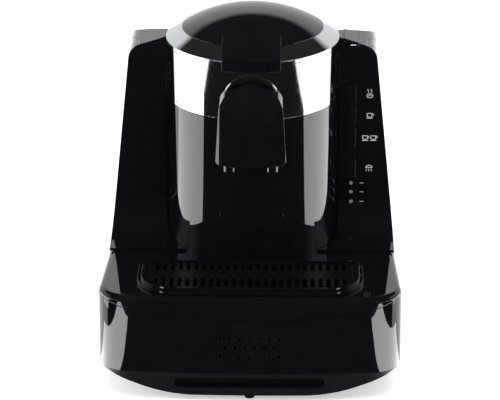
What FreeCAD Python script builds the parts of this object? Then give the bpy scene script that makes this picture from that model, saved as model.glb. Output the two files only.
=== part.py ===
import FreeCAD, Part
import math
import os

V = FreeCAD.Vector

# Driving dimensions, in millimetres.
# X runs to the right, Y to the back and Z up. The origin is on the floor, under the middle of the box.
# Distances "from front" are measured backwards from the foremost point of the base.

# Whole body
body_depth = 275.0
wall = 2.8
seam = 0.3
parting_gap = 0.4
run_gap = 0.4

# Base
base_width = 250.0
widest_from_front = 30.0
side_taper = 0.055
base_bow = 5.0
bow_margin = 8.0
base_corner = 27.0
rear_overhang = 5.0
rear_corner = 34.0
side_blend = 300.0
foot_height = 5.2
crease_height = 26.5
facet_run = 3.5
camber_reach = 122.0
camber_knee = 68.5
knee_radius = 127.0
pan_front_thickness = 16.0
pan_rim = 9.0
finger_slot_width = 124.0
finger_slot_low = 12.0
finger_slot_high = 22.0
finger_slot_depth = 10.0
finger_slot_corner = 4.0

# Feet
foot_radius = 5.5
foot_taper = 1.5
foot_peg_radius = 2.2
foot_peg_rise = 5.5
foot_boss_wall = 2.0
front_foot_from_front = 13.0
side_foot_x = 82.0
side_foot_front = 52.0
side_foot_from_back = 32.0

# Cable gland
gland_x = -70.0
gland_height = 48.0
gland_radius = 7.0
gland_length = 14.0
gland_bore = 3.6
gland_stand = 1.5
gland_nut = 2.5

# Buzzer grille
grille_height = 49.0
grille_pitch = 8.0
grille_hole = 2.5
grille_rows = [7, 6, 7]

# Deck
deck_height = 93.0
deck_roll = 5.0
parting_centre_drop = 20.0
parting_side_drop = 5.5
parting_side_reach = 120.0

# Drip tray
tray_width = 187.0
tray_front = 7.0
tray_back = 76.4
tray_corner = 32.0
tray_back_corner = 9.0
tray_depth = 24.0
tray_wall = 2.0
tray_lip = 3.0
tray_step_height = 2.6
tray_step_run = 3.2
grid_thickness = 2.6
grid_drop = 1.6
slot_pitch = 6.45
slot_width = 3.3
slot_row_reach = 78.0
front_row = (17.0, 36.5)
back_row = (53.0, 68.0)

# Column
column_radius = 72.5
column_from_front = 150.0
band_low = 220.0
band_high = 270.0
band_thickness = 2.6
trim_stand = 0.3
ring_edge = 0.6
ring_rise = 9.0
ring_top_radius = 59.6
lid_mouth_radius = 56.8

# Lid
lid_rise = 16.5
lid_wall = 2.4
tab_width = 48.5
tab_thickness = 2.2
tab_drop = 7.4
tab_blend_radius = 50.0
tab_crest = 1.9
hinge_from_axis = 66.5
hinge_height = 3.0
hinge_notch_from_axis = 62.8
hinge_pin_radius = 1.2
hinge_knuckle_radius = 2.8
hinge_arm_width = 24.0
hinge_ear_width = 6.0
pin_fit = 0.05
seal_clear = 0.8
seal_step = 1.2
seal_flange = 1.3
seal_lip_rise = 3.0
seal_lip_lean = 1.0
seal_wall = 2.6

# Brewing pot and heater
pot_radius = 46.0
pot_wall = 1.2
pot_bottom = 206.0
pot_corner = 9.0
pot_flange_radius = 62.0
pot_flange_thickness = 2.0
gasket_height = 2.0
carrier_height = 5.0
heater_thickness = 5.0
element_ring = 25.0
element_rod_radius = 3.2
frame_top = 150.0
frame_wall = 2.4
frame_radius = 60.0

# Outlet valve
valve_from_axis = 34.0
valve_radius = 7.0
valve_bore = 3.0
plunger_radius = 2.9
cam_radius = 7.0
cam_throw = 1.5
cam_width = 8.0
cam_gap = 0.5
outlet_height = 192.0
outlet_radius = 5.0
outlet_bore = 3.2
outlet_drop = 16.0
socket_from_front = 86.0
socket_depth = 14.0
motor_radius = 11.0
motor_length = 22.0
motor_gap = 3.0

# Spout
hood_width = 58.6
hood_bottom = 188.0
hood_bottom_corner = 3.0
hood_shoulder_x = 25.9
hood_shoulder_height = 246.2
hood_shoulder_radius = 17.5
hood_apex_height = 255.7
hood_apex_radius = 39.0
hood_break_height = 236.0
hood_break_from_front = 51.5
hood_break_radius = 40.0
hood_crest_height = 262.0
hood_crest_from_front = 80.0
hood_from_front = 50.0
hood_wall = 2.2
hood_front_radius = 45.0
nozzle_spread = 17.8
nozzle_radius = 4.8
nozzle_bore = 3.2
nozzle_tip = 181.0
nozzle_from_front = 64.5
collar_radius = 24.0
collar_width = 2.4
collar_stand = 4.0
collar_height = 235.8

# Wings
wing_half_width = 120.6
wing_toe = 104.0
wing_face = 149.0
wing_top = 269.0
wing_crown = 28.0
wing_lean = 16.0
wing_corner = 30.0
wing_face_lean = 2.5
wing_sweep_radius = 32.0
wing_toe_height = 2.2
wing_peak = 173.0
wing_back_top = 220.0
shoulder_radius = 14.0
shoulder_drop = 10.0
cap_height = 8.0
panel_thickness = 2.8

# Keys
key_x = 84.0
key_width = 7.0
key_spans = [(210.6, 228.0), (191.0, 209.6), (171.0, 190.0), (142.5, 161.6)]
key_names = ["heat_key", "one_cup_key", "two_cup_key", "clean_key"]
key_stand = 0.8
key_gap = 0.25
key_flange = 1.4
lamp_heights = [138.5, 130.5, 122.0]
lamp_radius = 1.5
power_key_width = 12.0
power_key_x = 83.0
power_key_back = 180.0
power_key_stand = 0.6
power_key_low = 6.0
board_from_front = 160.0
board_thickness = 1.6
board_post_x = 96.0

# Water tank
tank_width = 160.0
tank_wall = 2.2
tank_gap = 0.5
tank_lift_gap = 0.3
tank_corner = 8.0
tank_rim_height = 212.0
bay_wall = 2.6
bay_floor = 4.0
bay_wall_height = 240.0
duct_half = 24.0
tank_valve_radius = 6.0
tank_valve_lift = 3.0
tank_valve_x = -40.0
tank_valve_stem = 3.35
tank_lid_front_height = 242.0
tank_lid_back_height = 223.0
float_x = 60.0
float_width = 16.0
float_depth = 12.0
float_height = 20.0
float_reach = 80.0

# Water pump
pump_x = -95.0
pump_radius = 11.0
pump_front = 176.0
pump_length = 62.0

# Longer than anything in the part, for tools that cut right through it
beyond = 400.0

# Places that follow from the sizes above
front_y = -body_depth / 2
axis_y = front_y + column_from_front
base_back = body_depth - rear_overhang
chrome_radius = column_radius + trim_stand
bay_front = axis_y + chrome_radius + seam
bay_half = tank_width / 2 + tank_gap
tank_front = column_from_front + chrome_radius + 2 * seam + bay_wall + tank_gap
tank_back = body_depth
tank_low = deck_height + bay_floor + tank_lift_gap
tank_valve_y = front_y + (tank_front + tank_back) / 2
hinge_y = axis_y + hinge_from_axis
hinge_z = band_high + hinge_height
ear_in = hinge_arm_width / 2 + seam
ear_out = ear_in + hinge_ear_width
lid_low = band_high + ring_rise + seam
flange_top = band_high - seam
flange_low = flange_top - pot_flange_thickness
gasket_low = flange_low - gasket_height
carrier_low = gasket_low - carrier_height
valve_y = axis_y - valve_from_axis
plunger_low = outlet_height - outlet_drop
cam_z = plunger_low - cam_gap - cam_radius - cam_throw
socket_front = front_y + socket_from_front
camber_angle = math.atan((crease_height - foot_height) / (camber_reach - camber_knee))
knee_reach = knee_radius * math.tan(camber_angle / 2)

nodes = {}


# Helpers

def back(distance):
    """The Y of a point at this distance behind the foremost point."""
    return front_y + distance


def box(x0, x1, y0, y1, z0, z1):
    return Part.makeBox(x1 - x0, y1 - y0, z1 - z0, V(x0, y0, z0))


def rod(radius, z0, z1, x=0.0, y=0.0):
    return Part.makeCylinder(radius, z1 - z0, V(x, y, z0))


def rod_x(radius, x0, x1, y, z):
    return Part.makeCylinder(radius, x1 - x0, V(x0, y, z), V(1, 0, 0))


def rod_y(radius, y0, y1, x, z):
    return Part.makeCylinder(radius, y1 - y0, V(x, y0, z), V(0, 1, 0))


def tube(outer, inner, z0, z1, x=0.0, y=0.0):
    return rod(outer, z0, z1, x, y).cut(rod(inner, z0 - 1, z1 + 1, x, y))


def turned(profile, x=0.0, y=0.0):
    """A solid turned about a vertical axis from (radius, height) points."""
    points = [V(x + radius, y, height) for radius, height in profile]
    face = Part.Face(Part.makePolygon(points + [points[0]]))
    return face.revolve(V(x, y, 0), V(0, 0, 1), 360)


def mirrored(shape):
    return shape.mirror(V(0, 0, 0), V(1, 0, 0))


def joined(solids):
    return Part.makeCompound(solids)


def inset_points(points, inset):
    """Move every side of a closed counter-clockwise outline inwards."""
    moved = []
    count = len(points)
    for i in range(count):
        x, y, radius = points[i]
        xa, ya = points[i - 1][:2]
        xb, yb = points[(i + 1) % count][:2]
        length_a = math.hypot(x - xa, y - ya)
        length_b = math.hypot(xb - x, yb - y)
        nax, nay = -(y - ya) / length_a, (x - xa) / length_a
        nbx, nby = -(yb - y) / length_b, (xb - x) / length_b
        share = inset / (1 + nax * nbx + nay * nby)
        turn = nax * nby - nay * nbx
        new_radius = radius
        if radius > 0:
            new_radius = max(radius - inset, 0.4) if turn > 0 else radius + inset
        moved.append((x + (nax + nbx) * share, y + (nay + nby) * share, new_radius))
    return moved


def rounded_wire(points, place):
    """A closed wire through corner points (u, v, radius), each corner an arc of its radius."""
    arcs = []
    count = len(points)
    for i in range(count):
        u, v, radius = points[i]
        ua, va = points[i - 1][:2]
        ub, vb = points[(i + 1) % count][:2]
        length_a = math.hypot(ua - u, va - v)
        length_b = math.hypot(ub - u, vb - v)
        dax, day = (ua - u) / length_a, (va - v) / length_a
        dbx, dby = (ub - u) / length_b, (vb - v) / length_b
        if radius <= 0:
            arcs.append(((u, v), None, (u, v)))
            continue
        half = math.acos(max(-1.0, min(1.0, dax * dbx + day * dby))) / 2
        reach = radius / math.tan(half)
        mid = radius / math.sin(half) - radius
        bx, by = dax + dbx, day + dby
        size = math.hypot(bx, by)
        start = (u + dax * reach, v + day * reach)
        end = (u + dbx * reach, v + dby * reach)
        top = (u + bx / size * mid, v + by / size * mid)
        arcs.append((start, top, end))
    edges = []
    for i in range(count):
        start, top, end = arcs[i]
        if top is not None:
            edges.append(Part.Arc(place(*start), place(*top), place(*end)).toShape())
        after = arcs[(i + 1) % count][0]
        if math.hypot(after[0] - end[0], after[1] - end[1]) > 1e-6:
            edges.append(Part.LineSegment(place(*end), place(*after)).toShape())
    return Part.Wire(edges)


def plan_wire(points, z):
    return rounded_wire(points, lambda u, v: V(u, v, z))


def plan_prism(points, z0, z1):
    return Part.Face(plan_wire(points, z0)).extrude(V(0, 0, z1 - z0))


def front_prism(points, y0, y1):
    """Extrude an outline drawn in X and Z along Y."""
    wire = rounded_wire(points, lambda u, v: V(u, y0, v))
    return Part.Face(wire).extrude(V(0, y1 - y0, 0))


def side_prism(points, x0, x1):
    """Extrude an outline drawn in Y and Z along X."""
    wire = rounded_wire(points, lambda u, v: V(x0, u, v))
    return Part.Face(wire).extrude(V(x1 - x0, 0, 0))


def rectangle(x0, x1, y0, y1, radius):
    return [(x0, y0, radius), (x1, y0, radius), (x1, y1, radius), (x0, y1, radius)]


# Outlines

def side_x(distance):
    """Half width of the base at a distance from the front; its sides are parallel behind the wings' toe."""
    return base_width / 2 - side_taper * (min(distance, wing_toe) - widest_from_front)


def base_points():
    half = base_width / 2
    bow_reach = half - base_corner - bow_margin
    centre = -base_bow * bow_reach / (2 * half - bow_reach)
    slope = (base_bow - centre) / half
    bow_radius = bow_reach / slope
    return [
        (-side_x(base_bow), back(base_bow), base_corner),
        (0.0, back(centre), bow_radius),
        (side_x(base_bow), back(base_bow), base_corner),
        (side_x(wing_toe), back(wing_toe), side_blend),
        (side_x(base_back), back(base_back), rear_corner),
        (-side_x(base_back), back(base_back), rear_corner),
        (-side_x(wing_toe), back(wing_toe), side_blend),
    ]


def tray_points():
    half = tray_width / 2
    return [
        (-half, back(tray_front), tray_corner),
        (half, back(tray_front), tray_corner),
        (half, back(tray_back), tray_back_corner),
        (-half, back(tray_back), tray_back_corner),
    ]


def camber(thickness):
    """Everything above the cambered underside, raised by this thickness."""
    half = body_depth
    rise = (half - camber_knee) * math.tan(camber_angle)
    points = [
        (-camber_knee, foot_height, knee_radius),
        (camber_knee, foot_height, knee_radius),
        (half, foot_height + rise, 0),
        (half, beyond, 0),
        (-half, beyond, 0),
        (-half, foot_height + rise, 0),
    ]
    return front_prism(inset_points(points, thickness), -beyond, beyond)


def underside(x):
    """Height of the cambered underside at this distance from the middle."""
    past = x - camber_knee + knee_reach
    if past <= 0:
        return foot_height
    if past >= knee_radius * math.sin(camber_angle):
        return foot_height + (x - camber_knee) * math.tan(camber_angle)
    return foot_height + knee_radius - math.sqrt(knee_radius ** 2 - past ** 2)


def smile(extra):
    """The cylinder above the parting line of the deck, which hangs lowest in the middle."""
    rise = parting_centre_drop - parting_side_drop
    radius = (parting_side_reach ** 2 + rise ** 2) / (2 * rise)
    centre = deck_height - parting_centre_drop + radius
    return rod_y(radius + extra, -beyond, beyond, 0, centre)


# Base

def make_base_pan():
    low = plan_wire(inset_points(base_points(), facet_run), foot_height - 0.5)
    high = plan_wire(base_points(), crease_height)
    body = Part.makeLoft([low, high], True, True).common(camber(0))
    hollow = plan_prism(inset_points(base_points(), pan_rim), 0, crease_height + 1)
    hollow = hollow.common(camber(wall))
    hollow = hollow.common(box(-beyond, beyond, back(pan_front_thickness), beyond, 0, beyond))
    body = body.cut(hollow)
    half = finger_slot_width / 2
    slot = rectangle(-half, half, finger_slot_low, finger_slot_high, finger_slot_corner)
    body = body.cut(front_prism(slot, back(-2), back(finger_slot_depth + 2)))
    for x, y in foot_places():
        socket_top = underside(abs(x)) + foot_peg_rise + seam
        boss = rod(foot_peg_radius + seam + foot_boss_wall, 0, socket_top + foot_boss_wall / 2, x, y)
        body = body.fuse(boss.common(camber(0)))
        body = body.cut(rod(foot_peg_radius + seam, 0, socket_top, x, y))
    return body.removeSplitter()


def foot_places():
    places = [(0.0, back(front_foot_from_front))]
    for x in (-side_foot_x, side_foot_x):
        places.append((x, back(side_foot_front)))
        places.append((x, back(base_back - side_foot_from_back)))
    return places


def make_feet():
    feet = []
    for x, y in foot_places():
        low = underside(max(abs(x) - foot_radius, 0)) - seam
        top = underside(abs(x)) + foot_peg_rise
        cone = Part.makeCone(foot_radius - foot_taper, foot_radius, underside(abs(x) + foot_radius), V(x, y, 0))
        cone = cone.cut(camber(-seam))
        peg = rod(foot_peg_radius, low - 1, top, x, y)
        feet.append(cone.fuse(peg).removeSplitter())
    return joined(feet)


def make_base_shell():
    outer = plan_prism(base_points(), crease_height, deck_height)
    inner = plan_prism(inset_points(base_points(), wall), crease_height - 1, deck_height + 1)
    shell = outer.cut(inner).cut(smile(parting_gap))
    for row, count in enumerate(grille_rows):
        z = grille_height + (1 - row) * grille_pitch
        for i in range(count):
            x = (i - (count - 1) / 2) * grille_pitch
            shell = shell.cut(rod_y(grille_hole / 2, back(-3), back(12), x, z))
    gland = rod_y(gland_radius + seam, back(base_back - 8), back(base_back + 4), gland_x, gland_height)
    return shell.cut(gland)


def make_cable_gland():
    y = back(base_back - gland_length + 2)
    body = rod_y(gland_radius, y, back(base_back + gland_stand), gland_x, gland_height)
    nut = rod_y(gland_radius + gland_nut, y, back(base_back - wall - seam), gland_x, gland_height)
    bore = rod_y(gland_bore, y - 1, beyond, gland_x, gland_height)
    return body.fuse(nut).cut(bore).removeSplitter()


def well_points():
    return inset_points(tray_points(), tray_lip - run_gap)


def make_deck_cover():
    outer = plan_prism(base_points(), deck_height - parting_centre_drop - 5, deck_height)
    top_edges = [edge for edge in outer.Edges if edge.BoundBox.ZMin > deck_height - 0.01]
    outer = outer.makeFillet(deck_roll, top_edges)
    outer = outer.common(smile(0))
    under = plan_prism(inset_points(base_points(), wall), 0, deck_height - wall)
    cover = outer.cut(under)
    well_low = deck_height - tray_depth - seam
    well_outer = plan_prism(inset_points(well_points(), -wall), well_low - wall, deck_height - wall / 2)
    inside_base = plan_prism(inset_points(base_points(), wall + seam), 0, deck_height)
    well_outer = well_outer.common(inside_base)
    cover = cover.fuse(well_outer)
    cover = cover.cut(plan_prism(well_points(), well_low, deck_height + 1))
    return cover.removeSplitter()


# Drip tray and grid

def make_drip_tray():
    low = deck_height - tray_depth
    rim_low = deck_height + seam
    rim_mid = rim_low + tray_step_height
    rim_top = rim_mid + tray_step_height
    bowl = plan_prism(inset_points(tray_points(), tray_lip), low, rim_mid)
    lip = plan_prism(tray_points(), rim_low, rim_mid)
    step = plan_prism(inset_points(tray_points(), tray_step_run), rim_mid, rim_top)
    body = bowl.fuse(lip).fuse(step)
    inner = inset_points(tray_points(), tray_lip + tray_wall)
    seat = inset_points(tray_points(), tray_step_run * 2)
    body = body.cut(plan_prism(inner, low + tray_wall, rim_low - grid_thickness))
    body = body.cut(plan_prism(inset_points(seat, tray_wall), low + 10, rim_top + 1))
    body = body.cut(plan_prism(seat, grid_low() - seam, rim_top + 1))
    return body.removeSplitter()


def grid_low():
    return deck_height + seam + tray_step_height * 2 - grid_drop - grid_thickness


def make_drip_grid():
    points = inset_points(tray_points(), tray_step_run * 2 + run_gap)
    grid = plan_prism(points, grid_low(), grid_low() + grid_thickness)
    count = int(slot_row_reach // slot_pitch)
    cuts = []
    for low, high in (front_row, back_row):
        for i in range(-count, count + 1):
            x = i * slot_pitch
            slot = rectangle(x - slot_width / 2, x + slot_width / 2, back(low), back(high), slot_width / 2 - 0.05)
            cuts.append(plan_prism(slot, 0, 200))
    return grid.cut(joined(cuts))


# Column

def make_column_shell():
    outer = column_radius
    step = outer - band_thickness
    profile = [
        (outer, deck_height),
        (outer, band_low),
        (step - seam, band_low),
        (step - seam, band_high),
        (step - seam - wall, band_high),
        (step - seam - wall, deck_height),
    ]
    shell = turned(profile, 0, axis_y)
    hole = rod_y(outlet_radius + run_gap, back(60), axis_y, 0, outlet_height)
    return shell.cut(hole)


def make_chrome_band():
    outer = chrome_radius
    inner = column_radius - band_thickness
    return tube(outer, inner, band_low + parting_gap, band_high, 0, axis_y)


def ring_section():
    """The outline of the bevel ring, in radius and height."""
    return [
        (chrome_radius, band_high),
        (chrome_radius, band_high + ring_edge),
        (ring_top_radius, band_high + ring_rise),
        (lid_mouth_radius, band_high + ring_rise),
        (lid_mouth_radius, band_high),
    ]


def hinge_notch(gap):
    """The space at the back of the bevel ring for the hinge, less this gap."""
    half = ear_out - gap
    return box(-half, half, axis_y + hinge_notch_from_axis + gap, beyond, band_high - seam, beyond)


def make_bevel_ring():
    return turned(ring_section(), 0, axis_y).cut(hinge_notch(0.0))


def dome(radius, low, rise):
    """A shallow cap, flat below."""
    sphere_radius = (radius ** 2 + rise ** 2) / (2 * rise)
    ball = Part.makeSphere(sphere_radius, V(0, axis_y, low + rise - sphere_radius))
    return ball.common(rod(radius, low, low + rise + 1, 0, axis_y))


def dome_height(radius):
    """Height of the lid's outside at this radius."""
    sphere_radius = (ring_top_radius ** 2 + lid_rise ** 2) / (2 * lid_rise)
    return lid_low + lid_rise - sphere_radius + math.sqrt(sphere_radius ** 2 - radius ** 2)


def slope_height(radius):
    """Height of the bevel ring's slope at this radius."""
    share = (chrome_radius - radius) / (chrome_radius - ring_top_radius)
    return band_high + ring_edge + share * (ring_rise - ring_edge)


def make_lid_tab():
    inside = ring_top_radius - lid_wall
    face = chrome_radius + seam
    section = [
        (inside, lid_low),
        (ring_top_radius, lid_low),
        (face, band_high + ring_edge + seam),
        (face, band_high - tab_drop),
        (face + tab_thickness, band_high - tab_drop),
        (face + tab_thickness, band_high + tab_thickness),
        (ring_top_radius + tab_crest, lid_low + tab_crest),
        (tab_blend_radius, dome_height(tab_blend_radius)),
        (tab_blend_radius, dome_height(tab_blend_radius) - lid_wall / 2),
    ]
    half = tab_width / 2
    return turned(section, 0, axis_y).common(box(-half, half, -beyond, axis_y - column_radius / 2, 0, beyond))


def make_lid_arm():
    """The strap from the lid's back edge down to the hinge knuckle, and the knuckle."""
    near = hinge_notch_from_axis + seam
    section = [
        (ring_top_radius - lid_wall, lid_low),
        (ring_top_radius, lid_low),
        (near, slope_height(near) + seam),
        (near + 1.0, hinge_z + 0.5),
        (hinge_from_axis, hinge_z),
        (hinge_from_axis + 2.1, hinge_z + 1.6),
        (hinge_from_axis - 0.1, hinge_z + 4.0),
        (ring_top_radius - 2.1, lid_low + 2.0),
    ]
    half = hinge_arm_width / 2
    arm = side_prism([(axis_y + radius, height, 0) for radius, height in section], -half, half)
    return arm.fuse(rod_x(hinge_knuckle_radius, -half, half, hinge_y, hinge_z))


def make_lid():
    shell = dome(ring_top_radius, lid_low, lid_rise)
    shell = shell.cut(dome(ring_top_radius - lid_wall * 2, lid_low - 0.01, lid_rise - lid_wall))
    shell = shell.fuse(make_lid_tab()).fuse(make_lid_arm())
    shell = shell.cut(rod_x(hinge_pin_radius + pin_fit, -beyond, beyond, hinge_y, hinge_z))
    return shell.removeSplitter()


nodes["base_pan"] = make_base_pan()
nodes["rubber_feet"] = make_feet()
nodes["base_shell"] = make_base_shell()
nodes["cable_gland"] = make_cable_gland()
nodes["deck_cover"] = make_deck_cover()
nodes["drip_tray"] = make_drip_tray()
nodes["drip_grid"] = make_drip_grid()
nodes["column_shell"] = make_column_shell()
nodes["chrome_band"] = make_chrome_band()
nodes["bevel_ring"] = make_bevel_ring()
nodes["lid"] = make_lid()


# Lid hinge and seal

def make_hinge_bracket():
    """The piece of the ring's form that fills the notch, with an ear on each side of the lid's knuckle."""
    body = turned(ring_section(), 0, axis_y).common(hinge_notch(seam))
    for x in (-ear_out + seam, ear_in):
        body = body.fuse(rod_x(hinge_knuckle_radius, x, x + hinge_ear_width - seam, hinge_y, hinge_z))
    room_back = hinge_y + hinge_knuckle_radius + run_gap
    body = body.cut(box(-ear_in, ear_in, axis_y, room_back, 0, beyond))
    return body.cut(rod_x(hinge_pin_radius + pin_fit, -beyond, beyond, hinge_y, hinge_z)).removeSplitter()


def make_lid_seal():
    outer = lid_mouth_radius - seal_clear
    skirt = outer - seal_step
    profile = [
        (outer, band_high + ring_rise),
        (outer, band_high + ring_rise - seal_flange),
        (skirt, band_high + ring_rise - seal_flange - seal_step),
        (skirt, band_high + seal_lip_rise),
        (skirt - seal_lip_lean, band_high),
        (skirt - seal_wall, band_high),
        (skirt - seal_wall, band_high + ring_rise),
    ]
    lifted = turned(profile, 0, axis_y)
    lifted.translate(V(0, 0, seam))
    return lifted


def make_foam_sensor():
    head = rod(7.0, lid_low, lid_low + lid_rise, 0, axis_y)
    body = head.common(dome(ring_top_radius - lid_wall * 2, lid_low - 0.01, lid_rise - lid_wall - seam))
    lens = rod(3.0, lid_low - 5, lid_low + 1, 0, axis_y)
    return body.fuse(lens).removeSplitter()


# Pot, heater and the frame that carries them

def make_pot_carrier():
    outer = column_radius - band_thickness - seam - wall - seam
    inner = pot_radius + pot_wall + 1.0
    profile = [
        (inner, carrier_low),
        (outer, carrier_low),
        (outer, gasket_low),
        (inner, gasket_low),
    ]
    return turned(profile, 0, axis_y)


def make_pot_gasket():
    return tube(pot_flange_radius, pot_radius + pot_wall + 1.0, gasket_low, flange_low, 0, axis_y)


def make_brewing_pot():
    outer = pot_radius + pot_wall
    shape = rod(outer, pot_bottom, flange_low + 1, 0, axis_y)
    bottom = [edge for edge in shape.Edges if edge.BoundBox.ZMax < pot_bottom + 0.01]
    shape = shape.makeFillet(pot_corner, bottom)
    shape = shape.fuse(rod(pot_flange_radius, flange_low, flange_top, 0, axis_y))
    inner = rod(pot_radius, pot_bottom + pot_wall, flange_top + 1, 0, axis_y)
    bottom = [edge for edge in inner.Edges if edge.BoundBox.ZMax < pot_bottom + pot_wall + 0.01]
    inner = inner.makeFillet(pot_corner - pot_wall, bottom)
    drain = rod(valve_bore, pot_bottom - 1, pot_bottom + 5, 0, valve_y)
    return shape.cut(inner).cut(drain).removeSplitter()


def make_heater_plate():
    top = pot_bottom - seam
    plate = rod(pot_radius - pot_corner, top - heater_thickness, top, 0, axis_y)
    return plate.cut(rod(valve_radius + seam, 0, 300, 0, valve_y))


def make_heating_element():
    z = pot_bottom - seam - heater_thickness - element_rod_radius - seam
    circle = Part.makeCircle(element_rod_radius, V(element_ring, axis_y, z), V(0, 1, 0))
    start = Part.Face(Part.Wire(circle))
    start.rotate(V(0, axis_y, 0), V(0, 0, 1), -50)
    return start.revolve(V(0, axis_y, 0), V(0, 0, 1), 280)


def make_thermostat():
    top = pot_bottom - seam - heater_thickness - seam
    body = rod(8.0, top - 7, top, 0, axis_y)
    for x in (-1, 1):
        body = body.fuse(box(x * 4 - 2, x * 4 + 2, axis_y - 0.4, axis_y + 0.4, top - 15, top - 6))
    return body


def make_inner_frame():
    low = deck_height
    frame = tube(frame_radius, frame_radius - frame_wall, low, frame_top, 0, axis_y)
    top = tube(frame_radius, 14.0, frame_top - frame_wall, frame_top, 0, axis_y)
    frame = frame.fuse(top)
    ring_low = pot_bottom - heater_thickness - 2 * seam
    for angle in (30, 150, 270 - 60, 270 + 60, 90):
        x = (pot_radius + 6.0) * math.cos(math.radians(angle))
        y = axis_y + (pot_radius + 6.0) * math.sin(math.radians(angle))
        frame = frame.fuse(rod(4.0, frame_top - 1, carrier_low - seam, x, y))
    return frame.removeSplitter()


def make_valve_body():
    top = pot_bottom - seam
    body = rod(valve_radius, outlet_height - 12, top, 0, valve_y)
    branch = rod_y(outlet_radius + 2.0, socket_front, valve_y, 0, outlet_height)
    body = body.fuse(branch)
    body = body.cut(rod(plunger_radius + pin_fit, outlet_height - 20, outlet_height, 0, valve_y))
    body = body.cut(rod(valve_bore, outlet_height - 1, top + 1, 0, valve_y))
    body = body.cut(rod_y(outlet_bore, socket_front - 1, valve_y, 0, outlet_height))
    body = body.cut(rod_y(outlet_radius + pin_fit, socket_front - 1, socket_front + socket_depth, 0, outlet_height))
    return body.removeSplitter()


def make_valve_plunger():
    foot = rod(5.0, plunger_low, plunger_low + 2, 0, valve_y)
    stem = rod(plunger_radius, plunger_low, pot_bottom - 2, 0, valve_y)
    return foot.fuse(stem).removeSplitter()


def make_valve_cam():
    cam = rod_x(cam_radius, -cam_width / 2, cam_width / 2, valve_y, cam_z + cam_throw)
    shaft = rod_x(2.5, -cam_width / 2, cam_width / 2 + 9, valve_y, cam_z)
    return cam.fuse(shaft).removeSplitter()


def make_gear_motor():
    x = cam_width / 2 + motor_gap
    body = rod_x(motor_radius, x, x + motor_length, valve_y, cam_z)
    foot = box(x, x + motor_length, valve_y - 8, valve_y + 8, frame_top, cam_z - 4)
    body = body.fuse(foot)
    return body.cut(rod_x(2.5 + pin_fit, x - 1, x + 7, valve_y, cam_z)).removeSplitter()


# Spout

def hood_points(inset):
    points = [
        (-hood_width / 2, hood_bottom, hood_bottom_corner),
        (hood_width / 2, hood_bottom, hood_bottom_corner),
        (hood_shoulder_x, hood_shoulder_height, hood_shoulder_radius),
        (0.0, hood_apex_height, hood_apex_radius),
        (-hood_shoulder_x, hood_shoulder_height, hood_shoulder_radius),
    ]
    return inset_points(points, inset)


def hood_solid(inset):
    """The hood as a block: an arch along Y, a leaning front and a rounded face."""
    arch = front_prism(hood_points(inset), -beyond, axis_y)
    if inset:
        half = hood_width / 2 - inset - seam
        arch = arch.fuse(box(-half, half, -beyond, axis_y, 0, hood_bottom + inset + hood_bottom_corner))
    side = [
        (back(hood_from_front + inset), 0, 0),
        (axis_y, 0, 0),
        (axis_y, hood_crest_height, 0),
        (back(hood_crest_from_front + inset), hood_crest_height, 0),
        (back(hood_break_from_front + inset), hood_break_height, hood_break_radius),
    ]
    face = rod(hood_front_radius - inset, 0, beyond, 0, back(hood_from_front + hood_front_radius))
    return arch.common(side_prism(side, -beyond, beyond)).common(face)


def make_spout_hood():
    body = hood_solid(0).cut(hood_solid(hood_wall))
    body = body.cut(rod(chrome_radius + seam, 0, beyond, 0, axis_y))
    return body.removeSplitter()


def make_spout_nozzles():
    y = back(nozzle_from_front)
    end = socket_front + socket_depth - 2
    outer = [rod_x(nozzle_radius, -nozzle_spread, nozzle_spread, y, outlet_height)]
    inner = [rod_x(nozzle_bore, -nozzle_spread, nozzle_spread, y, outlet_height)]
    for x in (-nozzle_spread, nozzle_spread):
        outer.append(Part.makeSphere(nozzle_radius, V(x, y, outlet_height)))
        outer.append(rod(nozzle_radius, nozzle_tip, outlet_height, x, y))
        inner.append(rod(nozzle_bore, nozzle_tip - 1, outlet_height, x, y))
    outer.append(rod_y(outlet_radius, y, end, 0, outlet_height))
    inner.append(rod_y(outlet_bore, y, end + 1, 0, outlet_height))
    body = outer[0]
    for shape in outer[1:]:
        body = body.fuse(shape)
    for shape in inner:
        body = body.cut(shape)
    return body.removeSplitter()


def make_outlet_seal():
    y = axis_y - chrome_radius - seam
    return rod_y(outlet_radius + 3, y - 2.2, y + 0.2, 0, outlet_height).cut(
        rod_y(outlet_radius + pin_fit, y - 4, y + 4, 0, outlet_height)
    ).cut(rod(chrome_radius, 0, beyond, 0, axis_y))


def make_spout_collar():
    front = axis_y - chrome_radius - collar_stand
    body = rod_y(collar_radius, front, axis_y, 0, collar_height)
    body = body.cut(rod_y(collar_radius - collar_width, -beyond, beyond, 0, collar_height))
    body = body.cut(rod(chrome_radius, 0, beyond, 0, axis_y))
    body = body.cut(front_prism(hood_points(-run_gap), -beyond, beyond))
    return body.common(box(-beyond, beyond, -beyond, axis_y, collar_height, beyond))


# Wings

def wing_side_points():
    """The side view of a wing in Y and Z."""
    points = [
        (wing_toe, deck_height - 10, 0),
        (base_back + 60, deck_height - 10, 0),
        (base_back + 60, wing_back_top - 14, 0),
        (wing_peak, wing_top, 60.0),
        (wing_face + wing_face_lean, wing_top, 10.0),
        (wing_face, deck_height + wing_toe_height + 2, wing_sweep_radius),
        (wing_toe, deck_height + wing_toe_height, 0),
    ]
    return [(back(f), z, radius) for f, z, radius in points]


def wing_plan_points(distance_x, lean, inset):
    front = wing_toe - 10
    points = [
        (-(side_x(front) - distance_x - lean), back(front), 0),
        (side_x(front) - distance_x - lean, back(front), 0),
        (side_x(base_back) - distance_x - lean, back(base_back - lean / 4), wing_corner),
        (-(side_x(base_back) - distance_x - lean), back(base_back - lean / 4), wing_corner),
    ]
    return inset_points(points, inset)


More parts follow.
